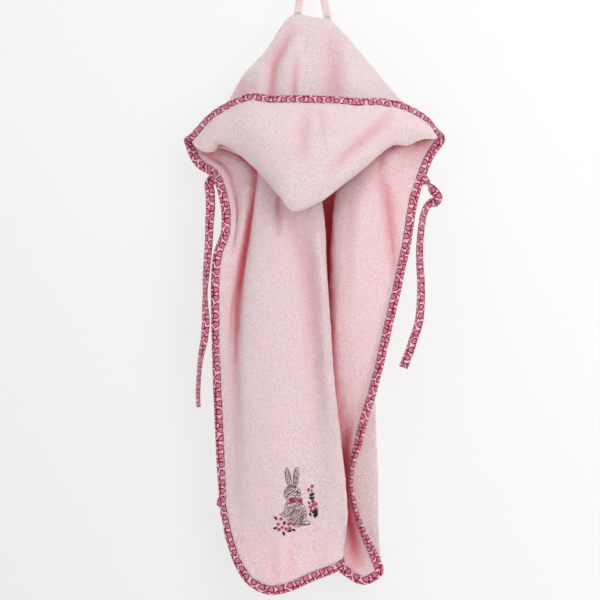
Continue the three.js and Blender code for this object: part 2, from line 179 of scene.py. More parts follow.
# How the bands twist: shares of the length, and how many degrees they turn from the viewer there.
LOOP_TURNS = [[0, 0], [1, 0]]
LEFT_TIE_TURNS = [
  [0, 0], [0.15, 10], [0.23, 31], [0.3, 38], [0.36, 46], [0.43, 52], [0.5, 70], [0.53, 74],
  [0.6, 50], [0.65, 33], [0.72, 48], [0.76, 58], [0.82, 72], [1, 76],
]
RIGHT_TIE_TURNS = [
  [0, 0], [0.04, 10], [0.1, 170], [0.15, 236], [0.2, 240], [0.32, 230], [0.55, 222],
  [0.68, 210], [1, 200],
]

# ---- curves and noise

FINE_SHARE = 40  # steps of a curve for each of its given points


def spline(points, t):
    """Centripetal Catmull-Rom curve through points (..., k, 3), read at t from 0 to k - 1."""
    points = np.asarray(points, float)
    first = 2 * points[..., :1, :] - points[..., 1:2, :]
    last = 2 * points[..., -1:, :] - points[..., -2:-1, :]
    padded = np.concatenate([first, points, last], axis=-2)
    start = np.clip(np.floor(t), 0, points.shape[-2] - 2).astype(int)
    w = (t - start)[:, None]
    p0, p1, p2, p3 = (padded[..., start + step, :] for step in range(4))

    def gap(a, b):
        return np.sqrt(np.linalg.norm(b - a, axis=-1, keepdims=True)) + 1e-6

    d0, d1, d2 = gap(p0, p1), gap(p1, p2), gap(p2, p3)
    m1 = ((p1 - p0) / d0 - (p2 - p0) / (d0 + d1) + (p2 - p1) / d1) * d1
    m2 = ((p2 - p1) / d1 - (p3 - p1) / (d1 + d2) + (p3 - p2) / d2) * d1
    return (
        (2 * w**3 - 3 * w**2 + 1) * p1
        + (w**3 - 2 * w**2 + w) * m1
        + (-2 * w**3 + 3 * w**2) * p2
        + (w**3 - w**2) * m2
    )


def run_length(points):
    """Distance along a list of points, at each point."""
    return np.concatenate([[0], np.cumsum(np.linalg.norm(np.diff(points, axis=0), axis=1))])


def read_along(values, run, at):
    """Points known at the distances run, read at the distances at."""
    return np.stack([np.interp(at, run, values[:, k]) for k in range(3)], axis=1)


def smooth_path(points, count):
    """Points evenly spaced along the smooth curve through the given ones."""
    fine = spline(points, np.linspace(0, len(points) - 1, FINE_SHARE * len(points)))
    run = run_length(fine)
    return read_along(fine, run, np.linspace(0, run[-1], count))


def smoothed(values, times):
    """Values drawn towards their neighbours a few times over, all but the two ends."""
    for _ in range(times):
        values[1:-1] = (values[:-2] + 2 * values[1:-1] + values[2:]) / 4
    return values


def unit(vectors):
    return vectors / (np.linalg.norm(vectors, axis=-1, keepdims=True) + 1e-9)


def lattice(cells, seed):
    """A repeatable value from -1 to 1 for each whole-number cell."""
    mixed = cells[..., 0] * 374761393 + cells[..., 1] * 668265263 + cells[..., 2] * 2147483647
    mixed = (mixed + seed * 1274126177).astype(np.int64) & 0xFFFFFFFF
    mixed = ((mixed ^ (mixed >> 13)) * 1274126177) & 0xFFFFFFFF
    mixed = mixed ^ (mixed >> 16)
    return (mixed & 0xFFFF) / 32767.5 - 1.0


def bumps(points, size, seed=0):
    """Smooth noise from -1 to 1, with bumps about size across."""
    q = np.asarray(points) / size
    base = np.floor(q).astype(np.int64)
    f = q - base
    f = f * f * (3 - 2 * f)
    total = 0.0
    for corner in np.ndindex(2, 2, 2):
        share = np.where(corner, f, 1 - f)
        weight = share[..., 0] * share[..., 1] * share[..., 2]
        total = total + weight * lattice(base + np.array(corner), seed)
    return total


# ---- cloth as rows of points


def cloth_rows(threads, rows, across_per_thread):
    """Grid of points (rows, columns, 3): one curve down each thread, then one across them."""
    threads = [np.array(thread, float) for thread in threads]
    columns = np.stack([spline(t, np.linspace(0, len(t) - 1, rows)) for t in threads], axis=1)
    places = np.linspace(0, len(threads) - 1, across_per_thread * (len(threads) - 1) + 1)
    return spline(columns, places)


def row_normals(grid):
    down = np.gradient(grid, axis=0)
    along = np.gradient(grid, axis=1)
    return unit(np.cross(down, along))


def segment_distance(x, z, a, b):
    """Distance in the front view from points to a segment, and how far along it they are."""
    dx, dz = b[0] - a[0], b[1] - a[1]
    along = np.clip(((x - a[0]) * dx + (z - a[1]) * dz) / (dx * dx + dz * dz), 0, 1)
    return np.hypot(x - a[0] - along * dx, z - a[1] - along * dz), along


CREASE_FADE = 0.8  # below 1, so a crease keeps its depth nearly to its ends
CREASE_SHADE = 0.045  # painted shade for each millimetre that a crease presses in


def crease(grid, crease_shade, line, depth, width, where=1.0, rose=CREASE_SHADE):
    """Presses a soft crease into the cloth along a line of the front view, fading at both ends.

    A ridge has a depth below zero. A crease also paints shade into the grid, rose for each
    millimetre that it presses in.
    """
    x, z = grid[..., 0], grid[..., 2]
    steps = len(line) - 1
    nearest = np.full(x.shape, 1e9)
    along = np.zeros(x.shape)
    for i in range(steps):
        distance, part = segment_distance(x, z, line[i], line[i + 1])
        closer = distance < nearest
        nearest = np.where(closer, distance, nearest)
        along = np.where(closer, (i + part) / steps, along)
    fade = np.sin(np.pi * np.clip(along, 0.0, 1.0)) ** CREASE_FADE
    press = depth * fade * np.exp(-((nearest / width) ** 2)) * where
    grid[..., 1] += press
    # painted shade in the crease, more where it presses deeper
    crease_shade += rose * np.clip(press, 0, None)


# unevenness of the cloth: how wide and how high its bumps are, in millimetres
SWELL, RUMPLE = (34.0, 1.6), (11.0, 0.45)
SWELL_STRETCH = np.array([1.0, 1.0, 0.45])  # the swells are longer down the cloth


def settle(grid, amount, seed):
    """Adds the slow swells of heavy cloth and its finer rumples, along the cloth's normals."""
    normals = row_normals(grid)
    swell = bumps(grid * SWELL_STRETCH, SWELL[0], seed) * SWELL[1]
    rumple = bumps(grid, RUMPLE[0], seed + 1) * RUMPLE[1]
    grid += normals * ((swell + rumple) * amount)[..., None]


def shell(grid, normals, thickness):
    """Vertices and faces of a closed sheet around a grid of points."""
    rows, columns = grid.shape[:2]
    front = (grid + normals * thickness / 2).reshape(-1, 3)
    back = (grid - normals * thickness / 2).reshape(-1, 3)
    verts = np.concatenate([front, back])
    index = np.arange(rows * columns).reshape(rows, columns)
    a, b = index[:-1, :-1].ravel(), index[1:, :-1].ravel()
    c, d = index[1:, 1:].ravel(), index[:-1, 1:].ravel()
    off = rows * columns
    faces = np.concatenate(
        [np.stack([a, b, c, d], 1), np.stack([a + off, d + off, c + off, b + off], 1)]
    )
    rim = np.concatenate(
        [index[0, :-1], index[:-1, -1], index[-1, :0:-1], index[:0:-1, 0]]
    )
    after = np.roll(rim, -1)
    faces = np.concatenate([faces, np.stack([rim, after, after + off, rim + off], 1)])
    return verts, faces


def signed_volume(mesh):
    """Volume of a closed mesh, below zero where its faces look inwards."""
    mesh.calc_loop_triangles()
    corners = np.zeros(3 * len(mesh.loop_triangles), dtype=np.int32)
    mesh.loop_triangles.foreach_get("vertices", corners)
    points = np.zeros(3 * len(mesh.vertices), dtype=np.float32)
    mesh.vertices.foreach_get("co", points)
    a, b, c = points.reshape(-1, 3)[corners.reshape(-1, 3)].transpose(1, 0, 2)
    return float((a * np.cross(b, c)).sum())


def make_piece(name, verts, faces, material, uv=None, painted_shade=None):
    """Smooth mesh object in metres, with an optional UV and one value of painted shade per vertex.

    Its attribute "sewn_at" holds where each vertex lies at rest, in millimetres, so that the
    grain stays put on the cloth.
    """
    mesh = bpy.data.meshes.new(name)
    mesh.from_pydata((np.asarray(verts) * MM).tolist(), [], [list(map(int, f)) for f in faces])
    mesh.update()
    if signed_volume(mesh) < 0:
        mesh.flip_normals()
    mesh.shade_smooth()
    if uv is not None:
        layer = mesh.uv_layers.new(name="cloth")
        loops = np.zeros(len(mesh.loops), dtype=np.int32)
        mesh.loops.foreach_get("vertex_index", loops)
        layer.data.foreach_set("uv", np.asarray(uv)[loops].astype(np.float32).ravel())
    place = mesh.attributes.new("sewn_at", "FLOAT_VECTOR", "POINT")
    place.data.foreach_set("vector", np.asarray(verts, np.float32).ravel())
    # painted shade in the folds, one value per vertex, kept in the "depth" attribute
    if painted_shade is not None:
        attribute = mesh.attributes.new("depth", "FLOAT", "POINT")
        attribute.data.foreach_set("value", np.asarray(painted_shade, np.float32))
    piece = bpy.data.objects.new(name, mesh)
    bpy.context.scene.collection.objects.link(piece)
    mesh.materials.append(material)
    return piece


# pile of the terry: how wide and how high its loops and its tufts are, in millimetres
PILE_LOOP, PILE_TUFT = (2.6, 0.42), (5.0, 0.25)
BACK_FACE_SHIFT = np.array([0.37, 0.61])  # keeps the UV of the two faces apart


def terry_sheet(name, grid, material, seed, painted_shade):
    """Closed terry sheet with a nubby pile on both faces and painted shade at each vertex."""
    normals = row_normals(grid)
    verts, faces = shell(grid, normals, TERRY)
    outward = np.concatenate([normals.reshape(-1, 3), -normals.reshape(-1, 3)])
    pile = bumps(verts, PILE_LOOP[0], seed) * PILE_LOOP[1]
    pile = pile + bumps(verts, PILE_TUFT[0], seed + 7) * PILE_TUFT[1]
    verts = verts + outward * pile[:, None]
    flat_u = np.cumsum(np.linalg.norm(np.diff(grid, axis=1, prepend=grid[:, :1]), axis=2), axis=1)
    flat_v = np.cumsum(np.linalg.norm(np.diff(grid, axis=0, prepend=grid[:1]), axis=2), axis=0)
    uv = np.stack([flat_u, flat_v], -1).reshape(-1, 2)
    uv = np.concatenate([uv, uv + BACK_FACE_SHIFT])
    return make_piece(name, verts, faces, material, uv, painted_shade)


# ---- painted shade in the folds: how far other cloth shuts each place in


def rays_around(count):
    """Directions spread over the half-sphere round +Z, denser near its pole."""
    number = np.arange(count) + 0.5
    high = np.sqrt(1 - number / count)
    turn = number * math.pi * (3 - math.sqrt(5))
    flat = np.sqrt(1 - high**2)
    return np.stack([flat * np.cos(turn), flat * np.sin(turn), high], 1)


def mid_surfaces(grids, stride):
    """Search tree of all the cloths' middles, with one quad for every few rows and columns."""
    corners, quads, base = [], [], 0
    for grid in grids:
        coarse = grid[::stride, ::stride]
        rows, columns = coarse.shape[:2]
        index = base + np.arange(rows * columns).reshape(rows, columns)
        corners.append(coarse.reshape(-1, 3))
        a, b, c, d = index[:-1, :-1], index[1:, :-1], index[1:, 1:], index[:-1, 1:]
        quads.append(np.stack([a.ravel(), b.ravel(), c.ravel(), d.ravel()], 1))
        base += rows * columns
    return BVHTree.FromPolygons(np.concatenate(corners).tolist(), np.concatenate(quads).tolist())


SHUT_RAYS = 20
SHUT_START = 2.2  # mm off the middle of the cloth
SHUT_REACH = 100.0  # mm beyond which cloth no longer shuts a place in
SHUT_OPEN, SHUT_FULL = 0.27, 0.95  # shares of the rays at which the painted shade starts and is full
ASKEW = np.array([0.31, 0.17, 0.93])  # a direction that no cloth faces squarely


def painted_shade_in_folds(grid, tree, stride):
    """Painted shade for each place of a grid, from 0 to 1, for its front and its back: how far
    cloth shuts the place in.
    """
    rows = np.unique(np.append(np.arange(0, grid.shape[0], stride), grid.shape[0] - 1))
    columns = np.unique(np.append(np.arange(0, grid.shape[1], stride), grid.shape[1] - 1))
    normals = row_normals(grid)[np.ix_(rows, columns)]
    points = grid[np.ix_(rows, columns)]
    around = rays_around(SHUT_RAYS)
    faces = []
    for side in (1, -1):
        outward = (normals * side).reshape(-1, 3)
        starts = points.reshape(-1, 3) + outward * SHUT_START
        across = unit(np.cross(outward, ASKEW))
        along = np.cross(outward, across)
        shut = np.zeros(len(starts))
        for i, start in enumerate(starts):
            base = Vector(start)
            for x, y, z in around:
                way = across[i] * x + along[i] * y + outward[i] * z
                distance = tree.ray_cast(base, Vector(way), SHUT_REACH)[3]
                if distance is not None:
                    shut[i] += 1 - (distance / SHUT_REACH) ** 2
        coarse = (shut / SHUT_RAYS).reshape(points.shape[:2])
        wide = np.stack([np.interp(np.arange(grid.shape[1]), columns, row) for row in coarse])
        full = np.stack([np.interp(np.arange(grid.shape[0]), rows, column) for column in wide.T], 1)
        share = np.clip((full - SHUT_OPEN) / (SHUT_FULL - SHUT_OPEN), 0, 1)
        faces.append((share * share * (3 - 2 * share)).ravel())
    return np.concatenate(faces)


# ---- tape


def resample(points, away, normal, step):
    """The same frames, evenly spaced along the edge, with gently smoothed directions."""
    run = run_length(points)
    at = np.linspace(0, run[-1], max(4, int(run[-1] / step)))
    away, normal = (unit(smoothed(read_along(values, run, at), 4)) for values in (away, normal))
    return read_along(points, run, at), away, normal


def two_faced(face):
    """Cross-section with the same points on both faces, from those of the upper one."""
    return np.array(face + [(out, -high) for out, high in face[::-1]])


# cross-section of a tape folded over a terry edge: outward distance, height over the cloth
FOLDED_TAPE = two_faced([
    (-0.2, 0.55), (0.6, 0.84), (3.0, 1.0), (6.0, 1.03), (8.6, 0.95), (10.2, 0.68), (11.0, 0.25),
])


# unevenness of the tape: how long and how high its puckers and its wander are, in millimetres
PUCKER, WANDER = (4.2, 0.32), (17.0, 0.35)
FOLD_PUCKER = 0.2  # share of the puckers left at the folds of the tape
FACE_HEIGHT = 0.6  # heights of the cross-section above this belong to its faces
OUTER_WANDER = 0.5  # share of the wander left beyond the tape's inner edge


def folded_tape(name, frames, material, seed):
    """Bias tape folded over an edge, closed, puckered a little by its stitching."""
    points, away, normal = frames
    run = run_length(points)
    count = len(FOLDED_TAPE)
    pucker = PUCKER[1] * bumps(np.stack([run, run * 0, run * 0], 1), PUCKER[0], seed)
    wander = WANDER[1] * bumps(np.stack([run, run * 0 + 9, run * 0], 1), WANDER[0], seed + 3)
    rings = []
    for out, high in FOLDED_TAPE:
        puckered = pucker * (1 if abs(high) > FACE_HEIGHT else FOLD_PUCKER)
        lift = np.sign(high) * (abs(high) * TAPE_HALF + puckered)
        reach = out + wander * (1 if out < 1 else OUTER_WANDER)
        rings.append(points + away * reach[:, None] + normal * np.reshape(lift, (-1, 1)))
    verts = np.stack(rings, 1).reshape(-1, 3)
    lap = run_length(FOLDED_TAPE * [1, TAPE_HALF])
    uv = np.stack([np.repeat(run, count), np.tile(lap, len(points))], 1)
    return make_piece(name, verts, tube_faces(len(points), count), material, uv)


def tube_faces(rings, around):
    """Faces of a closed tube of rings of points, with both ends capped."""
    faces = []
    for low in range(0, (rings - 1) * around, around):
        for k in range(around):
            n = (k + 1) % around
            faces.append([low + k, low + n, low + around + n, low + around + k])
    faces.append(list(range(around - 1, -1, -1)))
    faces.append([(rings - 1) * around + k for k in range(around)])
    return faces


# ---- materials


def srgb(red, green, blue):
    """Linear colour from 0-255 display values."""

    def linear(value):
        value /= 255
        return value / 12.92 if value <= 0.04045 else ((value + 0.055) / 1.055) ** 2.4

    return (linear(red), linear(green), linear(blue), 1.0)


class Nodes:
    """Short calls for building one node material."""

    def __init__(self, name):
        self.material = bpy.data.materials.new(name)
        self.material.use_nodes = True
        self.tree = self.material.node_tree
        self.shader = self.tree.nodes["Principled BSDF"]

    def add(self, kind, inputs=None, **settings):
        node = self.tree.nodes.new(kind)
        for key, value in settings.items():
            setattr(node, key, value)
        for key, value in (inputs or {}).items():
            self.put(node.inputs[key], value)
        return node

    def put(self, socket, value):
        if isinstance(value, bpy.types.NodeSocket):
            self.tree.links.new(value, socket)
        else:
            socket.default_value = value

    def math(self, operation, a, b=0.0):
        return self.add("ShaderNodeMath", {0: a, 1: b}, operation=operation).outputs[0]

    def attribute(self, name, output):
        return self.add("ShaderNodeAttribute", attribute_name=name).outputs[output]

    def mix(self, factor, a, b):
        values = {"Factor": factor, "A": a, "B": b}
        return self.add("ShaderNodeMix", values, data_type="RGBA").outputs["Result"]

    def noise(self, vector, scale, detail=2.0, roughness=0.5):
        values = {"Vector": vector, "Scale": scale, "Detail": detail, "Roughness": roughness}
        return self.add("ShaderNodeTexNoise", values).outputs["Fac"]

    def steps(self, value, low, high):
        """0 below low, 1 above high, smooth between."""
        node = self.add("ShaderNodeMapRange", {"Value": value, "From Min": low, "From Max": high})
        node.interpolation_type = "SMOOTHSTEP"
        return node.outputs["Result"]

    def bump(self, height, strength, distance):
        values = {"Height": height, "Strength": strength, "Distance": distance}
        self.put(self.shader.inputs["Normal"], self.add("ShaderNodeBump", values).outputs["Normal"])

    def surface(self, color, roughness=0.9, sheen=0.0, sheen_roughness=0.5, **others):
        values = {"Base Color": color, "Roughness": roughness, "Sheen Weight": sheen,
                  "Sheen Roughness": sheen_roughness, "Specular IOR Level": 0.2}
        for key, value in {**values, **others}.items():
            self.put(self.shader.inputs[key], value)


def terry_material(name, low, high, patch, fold_shade_color):
    """Looped terry, speckled by the painted shadows of its loops; its last colour is the painted
    shade inside folds.
    """
    n = Nodes(name)
    place = n.attribute("sewn_at", "Vector")
    loops = n.add("ShaderNodeTexVoronoi", {"Vector": place, "Scale": 0.62, "Randomness": 1.0})
    loop_height = n.math("SUBTRACT", 1.0, loops.outputs["Distance"])
    fuzz = n.noise(place, 1.0, 3.0, 0.7)
    patches = n.noise(place, 0.03, 3.0, 0.6)
    mixed = n.math("ADD", n.math("MULTIPLY", loop_height, 0.45), n.math("MULTIPLY", fuzz, 0.75))
    pale = n.mix(n.steps(mixed, 0.42, 0.80), srgb(*low), srgb(*high))
    uneven = n.mix(n.math("MULTIPLY", n.steps(patches, 0.35, 0.7), 0.5), pale, srgb(*patch))
    # the "depth" attribute holds painted shade; where it is high the colour turns to the shade
    # colour of the folds
    depth = n.attribute("depth", "Fac")
    n.bump(mixed, 1.0, 0.0016)
    n.surface(n.mix(depth, uneven, srgb(*fold_shade_color)), 0.95, 0.25, 0.5, **{
        "Sheen Tint": srgb(255, 240, 240), "Subsurface Weight": 0.5,
        "Subsurface Radius": (1.0, 0.3, 0.32), "Subsurface Scale": 0.008,
    })
    return n.material


HEART_CELL = (11.0, 14.6)  # mm along and across the tape for each heart of one lattice
HEART_RADIUS = 4.4


def heart_field(n, uv, shift_along, shift_lap, seed):
    """One heart at a random angle in each cell of a lattice: below 1 inside the heart."""
    shifted = n.add("ShaderNodeVectorMath", {0: uv, 1: (shift_along, shift_lap, 0.0)}).outputs[0]
    split = n.add("ShaderNodeSeparateXYZ", {"Vector": shifted})
    along = n.math("DIVIDE", split.outputs["X"], HEART_CELL[0])
    lap = n.math("DIVIDE", split.outputs["Y"], HEART_CELL[1])
    corner = {"X": n.math("FLOOR", along), "Y": n.math("FLOOR", lap), "Z": seed}
    cell = n.add("ShaderNodeCombineXYZ", corner).outputs[0]
    chance = n.add("ShaderNodeTexWhiteNoise", {"Vector": cell}, noise_dimensions="3D")
    turn = n.math("MULTIPLY", chance.outputs["Value"], 6.28)
    p, q = (
        n.math("MULTIPLY", n.math("SUBTRACT", n.math("FRACT", part), 0.5), size / HEART_RADIUS)
        for part, size in zip((along, lap), HEART_CELL)
    )
    local = n.add("ShaderNodeCombineXYZ", {"X": p, "Y": q}).outputs[0]
    values = {"Vector": local, "Angle": turn}
    turned = n.add("ShaderNodeVectorRotate", values, rotation_type="Z_AXIS")
    heart = n.add("ShaderNodeSeparateXYZ", {"Vector": turned.outputs[0]})
    x = n.math("ABSOLUTE", heart.outputs["X"])
    lobe = n.math("MULTIPLY", n.math("SQRT", x), 0.62)
    y = n.math("SUBTRACT", n.math("ADD", heart.outputs["Y"], 0.22), lobe)
    return n.math("ADD", n.math("MULTIPLY", x, x), n.math("MULTIPLY", y, y))


def tape_material(name, lilac, rose, crimson):
    """Cotton tape printed with scattered outlined hearts."""
    n = Nodes(name)
    uv = n.add("ShaderNodeUVMap", uv_map="cloth").outputs["UV"]
    first = heart_field(n, uv, 1.5, 3.0, 3.0)
    second = heart_field(n, uv, 1.5 + HEART_CELL[0] / 2, 3.0 + HEART_CELL[1] / 2, 7.0)
    size = n.math("MINIMUM", first, second)
    weave = n.noise(uv, 1.4, 2.0)
    fill = n.mix(n.steps(weave, 0.35, 0.7), srgb(*rose), srgb(*[v + 24 for v in rose]))
    ground = n.mix(n.steps(weave, 0.3, 0.7), srgb(*lilac), srgb(*[v + 14 for v in lilac]))
    printed = n.mix(n.steps(size, 0.36, 0.42), fill, srgb(*crimson))
    color = n.mix(n.steps(size, 0.97, 1.05), printed, ground)
    wave = {"Vector": uv, "Scale": 1.6, "Distortion": 0.4}
    threads = n.add("ShaderNodeTexWave", wave, bands_direction="DIAGONAL")
    n.bump(n.math("ADD", threads.outputs["Fac"], weave), 0.35, 0.0003)
    n.surface(color, 0.8, 0.15, 0.4)
    return n.material


def thread_material(name, color, darker):
    """Satin-stitched embroidery thread, lying side by side."""
    n = Nodes(name)
    place = n.attribute("sewn_at", "Vector")
    wave = {"Vector": place, "Scale": 0.75, "Distortion": 0.8, "Detail": 1.0}
    strands = n.add("ShaderNodeTexWave", wave)
    speckle = n.noise(place, 1.2, 2.0)
    tone = n.math("MULTIPLY", n.math("ADD", strands.outputs["Fac"], speckle), 0.5)
    n.surface(n.mix(n.steps(tone, 0.25, 0.75), srgb(*darker), srgb(*color)), 0.5, 0.2, 0.3)
    n.bump(strands.outputs["Fac"], 0.8, 0.0005)
    return n.material


def paint(name, color):
    """Matt paint with a faint grain; also gives the node that knows the place."""
    n = Nodes(name)
    geometry = n.add("ShaderNodeNewGeometry")
    grain = n.noise(geometry.outputs["Position"], 9.0)
    n.surface(n.mix(grain, srgb(*color), srgb(*[value - 2 for value in color])), 0.9)
    return n, geometry


WALL_GLOW, WALL_ACROSS, WALL_UPWARDS = 0.75, 0.12, 0.07  # in the middle, and more for each metre


def wall_material(color):
    """Bright backdrop with painted light, a little brighter to the right and the top, that only
    takes faint shadows.

    It glows evenly, as an evenly lit studio wall does, and can be seen through from behind.
    """
    n, geometry = paint("wall_paint", color)
    place = n.add("ShaderNodeSeparateXYZ", {"Vector": geometry.outputs["Position"]})
    across = n.math("MULTIPLY", place.outputs["X"], WALL_ACROSS)
    upwards = n.math("MULTIPLY", place.outputs["Z"], WALL_UPWARDS)
    glow = n.math("ADD", n.math("ADD", across, upwards), WALL_GLOW)
    n.shader.inputs["Emission Color"].default_value = (1.0, 1.0, 1.0, 1.0)
    n.put(n.shader.inputs["Emission Strength"], glow)
    clear = n.add("ShaderNodeBsdfTransparent").outputs[0]
    sides = {0: geometry.outputs["Backfacing"], 1: n.shader.outputs[0], 2: clear}
    blend = n.add("ShaderNodeMixShader", sides)
    n.tree.links.new(blend.outputs[0], n.tree.nodes["Material Output"].inputs["Surface"])
    return n.material


HEART_COLORS = (200, 112, 132), (140, 18, 48)
# the last colour of each terry is the painted shade of its folds
TERRY_BODY = terry_material(
    "terry_body", (244, 197, 204), (255, 240, 240), (250, 214, 219), (234, 52, 96)
)
TERRY_HOOD = terry_material(
    "terry_hood", (246, 202, 208), (255, 243, 243), (251, 217, 221), (234, 52, 96)
)
PRINTED_TAPE = tape_material("printed_tape", (224, 182, 206), *HEART_COLORS)
TIE_TAPE = tape_material("tie_tape", (226, 184, 207), *HEART_COLORS)
PALE_THREAD = thread_material("pale_thread", (255, 240, 242), (252, 226, 230))
SEWING_THREAD = thread_material("sewing_thread", (242, 198, 210), (226, 168, 186))
BROWN_THREAD = thread_material("brown_thread", (146, 98, 96), (96, 58, 60))
DARK_THREAD = thread_material("dark_thread", (74, 52, 54), (40, 28, 30))
ROSE_THREAD = thread_material("rose_thread", (242, 52, 154), (204, 28, 116))
GREEN_THREAD = thread_material("green_thread", (46, 66, 50), (20, 32, 24))


def declare(piece, body, slot, *nodes):
    """The piece rides on a body and stands for CAD nodes, whose parts it hides; slot is not used.
    """
    if body:
        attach(piece, body)
    if nodes:
        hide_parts(*nodes)


# ---- camera

camera_data = bpy.data.cameras.new("camera")
camera_data.sensor_width = 36
camera_data.lens = 168
camera = bpy.data.objects.new("camera", camera_data)
camera.location = (-0.0144, -3.535, -0.3925)
camera.rotation_euler = (math.pi / 2, 0, 0)
bpy.context.scene.collection.objects.link(camera)
bpy.context.scene.camera = camera

# ---- stitches

# rings of one stitch: how far along it, and its thickness there
STITCH_RINGS = [(0.0, 0.35), (0.14, 0.85), (0.5, 1.0), (0.86, 0.85), (1.0, 0.35)]
STITCH_SIDES = 6
STITCH_LIFT = 0.2  # share of its radius that a stitch stands off the cloth
SEAM_STITCH_SHARE, SEAM_STITCH_RADIUS = 0.72, 0.34


def stitch_piece(name, stitches, material):
    """One piece of many small tapered stitches, given as (start, end, lift direction, radius)."""
    starts, ends, lifts, radius = (np.asarray(values, float) for values in zip(*stitches))
    along = unit(ends - starts)
    up = unit(lifts - (lifts * along).sum(1, keepdims=True) * along)
    side = np.cross(along, up)
    rings = []
    for share, thick in STITCH_RINGS:
        centre = starts + (ends - starts) * share + up * (radius * STITCH_LIFT)[:, None]
        for k in range(STITCH_SIDES):
            angle = 2 * math.pi * k / STITCH_SIDES
            out = side * math.cos(angle) + up * math.sin(angle)
            rings.append(centre + out * (radius * thick)[:, None])
    verts = np.stack(rings, 1).reshape(-1, 3)
    one = tube_faces(len(STITCH_RINGS), STITCH_SIDES)
    faces = [[base + v for v in face] for base in range(0, len(verts), len(rings)) for face in one]
    return make_piece(name, verts, faces, material)


def side_stitches(frames, offset, height, face, pitch):
    """Running stitches beside the edge of a band, on one of its faces."""
    centres, sideways, normal = frames
    run = run_length(centres)
    starts = np.arange(pitch / 2, run[-1] - pitch, pitch)
    lift = unit(read_along(normal, run, starts)) * face
    base = centres + sideways * offset + normal * face * height
    ends = read_along(base, run, starts + pitch * SEAM_STITCH_SHARE)
    return list(zip(read_along(base, run, starts), ends, lift, [SEAM_STITCH_RADIUS] * len(starts)))


# ---- ties

# cross-section of a sewn flat tie: across its width and through its thickness, from -1 to 1
FLAT_TIE = two_faced([
    (-1.0, 0.25), (-0.93, 0.8), (-0.7, 1.0), (-0.25, 0.94), (0.25, 0.94), (0.68, 1.0),
    (0.9, 0.62), (0.98, 0.2),
])
# unevenness of a band: how long and how wide the waves of its edges are, in millimetres, and
# the same of its puckers as a share of its thickness
BAND_WAVE, BAND_PUCKER = (13.0, 0.35), (3.2, 0.12)


def ribbon_frames(route, turns, step):
    """Centres, sideways directions and face normals of a ribbon that turns about the vertical.

    turns pairs shares of its length with the angle, in degrees, its face is turned from the viewer.
    """
    count = int(run_length(smooth_path(route, 400))[-1] / step) + 1
    centres = smooth_path(route, count)
    tangent = unit(np.gradient(centres, axis=0))
    turn = smoothed(np.radians(np.interp(np.linspace(0, 1, count), *zip(*turns))), 6)
    normal = np.stack([np.sin(turn), -np.cos(turn), 0 * turn], axis=1)
    normal = unit(normal - (normal * tangent).sum(1, keepdims=True) * tangent)
    return centres, np.cross(tangent, normal), normal


def ribbon(name, frames, material, half_width, half_thickness, seed):
    """Flat sewn band along its frames, closed, with slightly uneven edges."""
    centres, sideways, normal = frames
    run = run_length(centres)
    wave = BAND_WAVE[1] * bumps(np.stack([run, run * 0, run * 0], 1), BAND_WAVE[0], seed)
    rings = []
    for across, through in FLAT_TIE:
        reach = across * half_width + wave
        pucker = bumps(np.stack([run, run * 0 + 5 * across, run * 0], 1), BAND_PUCKER[0], seed + 1)
        lift = through * half_thickness * (1 + BAND_PUCKER[1] * pucker)
        rings.append(centres + sideways * reach[:, None] + normal * np.reshape(lift, (-1, 1)))
    verts = np.stack(rings, 1).reshape(-1, 3)
    lap = run_length(FLAT_TIE * [half_width, half_thickness])
    uv = np.stack([np.repeat(run, len(FLAT_TIE)), np.tile(lap, len(centres))], 1)
    return make_piece(name, verts, tube_faces(len(centres), len(FLAT_TIE)), material, uv)


TIE_STEP = 1.6
TIE_SEAM_IN, TIE_SEAM_PITCH, TIE_SEAM_RISE = 1.2, 3.4, 0.1


def tie(name, stub, route, turns, node, seed):
    """A tie sewn on behind the tape: a short sewn-down stub, then the part that hangs free."""
    frames = ribbon_frames(stub + route, turns, TIE_STEP)
    piece = ribbon(name, frames, TIE_TAPE, TIE_WIDTH / 2, TIE_THICKNESS / 2, seed)
    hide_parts(node)
    beside, above = TIE_WIDTH / 2 - TIE_SEAM_IN, TIE_THICKNESS / 2 + TIE_SEAM_RISE
    stitches = []
    for side in (-1, 1):
        for face in (-1, 1):
            stitches += side_stitches(frames, side * beside, above, face, TIE_SEAM_PITCH)
    rows = stitch_piece(name + "_stitches", stitches, SEWING_THREAD)
    for soft in (piece, rows):
        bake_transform(soft)


LEFT_TIE_STUB = [[-118, -13.5, -233], [-123.5, -14.5, -239]]
RIGHT_TIE_STUB = [[136, -19, -236], [141, -20.5, -241]]
tie(
    "left_tie_tape", LEFT_TIE_STUB, LEFT_TIE_ROUTE, LEFT_TIE_TURNS,
    "left_tie", 31,
)
tie(
    "right_tie_tape", RIGHT_TIE_STUB, RIGHT_TIE_ROUTE, RIGHT_TIE_TURNS,
    "right_tie", 37,
)

# ---- terry sheets

FINE = 1


def between(threads, across, low, high):
    """For each column of a grid: 1 between two threads, fading out over half a thread beyond."""
    place = np.linspace(0, len(threads) - 1, across * (len(threads) - 1) + 1)[None, :]
    return np.clip((place - low) / 0.5 + 1, 0, 1) * np.clip((high - place) / 0.5 + 1, 0, 1)


def laid(threads, rows, across, creases, unevenness, seed):
    """Grid of a cloth with its creases, each a line, depth, width and where, and the shade that its
    creases paint.
    """
    grid = cloth_rows(threads, rows, across)
    crease_shade = np.zeros(grid.shape[:2])
    for values in creases:
        crease(grid, crease_shade, *values)
    settle(grid, unevenness, seed)
    return grid, crease_shade


